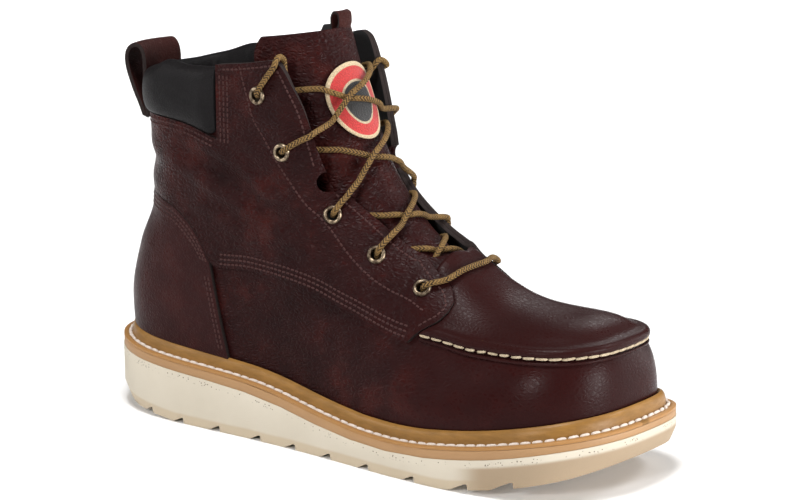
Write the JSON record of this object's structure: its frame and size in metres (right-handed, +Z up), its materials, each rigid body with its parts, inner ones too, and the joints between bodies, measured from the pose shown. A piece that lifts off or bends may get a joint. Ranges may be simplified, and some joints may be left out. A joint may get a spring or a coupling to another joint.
{
  "type": "safety boot",
  "caption": "Right lace-up leather work boot with a moc toe, stitched welt and flat wedge sole. It stands on its tread and takes a foot through the collar.",
  "frame": {"origin": "middle of the boot's bounding box, at the floor under the tread", "axes": "+X towards the toe, +Y towards the inner (medial) side of this right boot, +Z up"},
  "size_m": [0.302, 0.11, 0.2055],
  "materials": {
    "cream_foam": "matte",
    "tan_rubber": "matte",
    "honey_welt": "satin",
    "black_lining": "matte",
    "burgundy_leather": "satin",
    "black_leather": "satin",
    "patch_cloth": "matte",
    "antique_brass": "satin",
    "flecked_lace": "matte"
  },
  "bodies": {
    "root": {"outsole": "cream_foam", "midsole": "tan_rubber", "welt": "honey_welt", "insole": "black_lining", "upper": "burgundy_leather", "toe_plug": "burgundy_leather", "counter": "burgundy_leather", "backstay": "burgundy_leather", "quarter_lateral": "burgundy_leather", "quarter_medial": "burgundy_leather", "collar": "black_leather", "tongue": "burgundy_leather", "tongue_patch": "patch_cloth", "tongue_loop": "burgundy_leather", "pull_loop": "burgundy_leather", "eyelet_lateral_1": "antique_brass", "eyelet_lateral_2": "antique_brass", "eyelet_lateral_3": "antique_brass", "eyelet_lateral_4": "antique_brass", "eyelet_lateral_5": "antique_brass", "eyelet_medial_1": "antique_brass", "eyelet_medial_2": "antique_brass", "eyelet_medial_3": "antique_brass", "eyelet_medial_4": "antique_brass", "eyelet_medial_5": "antique_brass", "lace_bar": "flecked_lace", "lace_cross_1": "flecked_lace", "lace_cross_2": "flecked_lace", "lace_cross_3": "flecked_lace", "lace_cross_4": "flecked_lace", "lace_end_lateral": "flecked_lace", "lace_end_medial": "flecked_lace"}
  },
  "joints": []
}
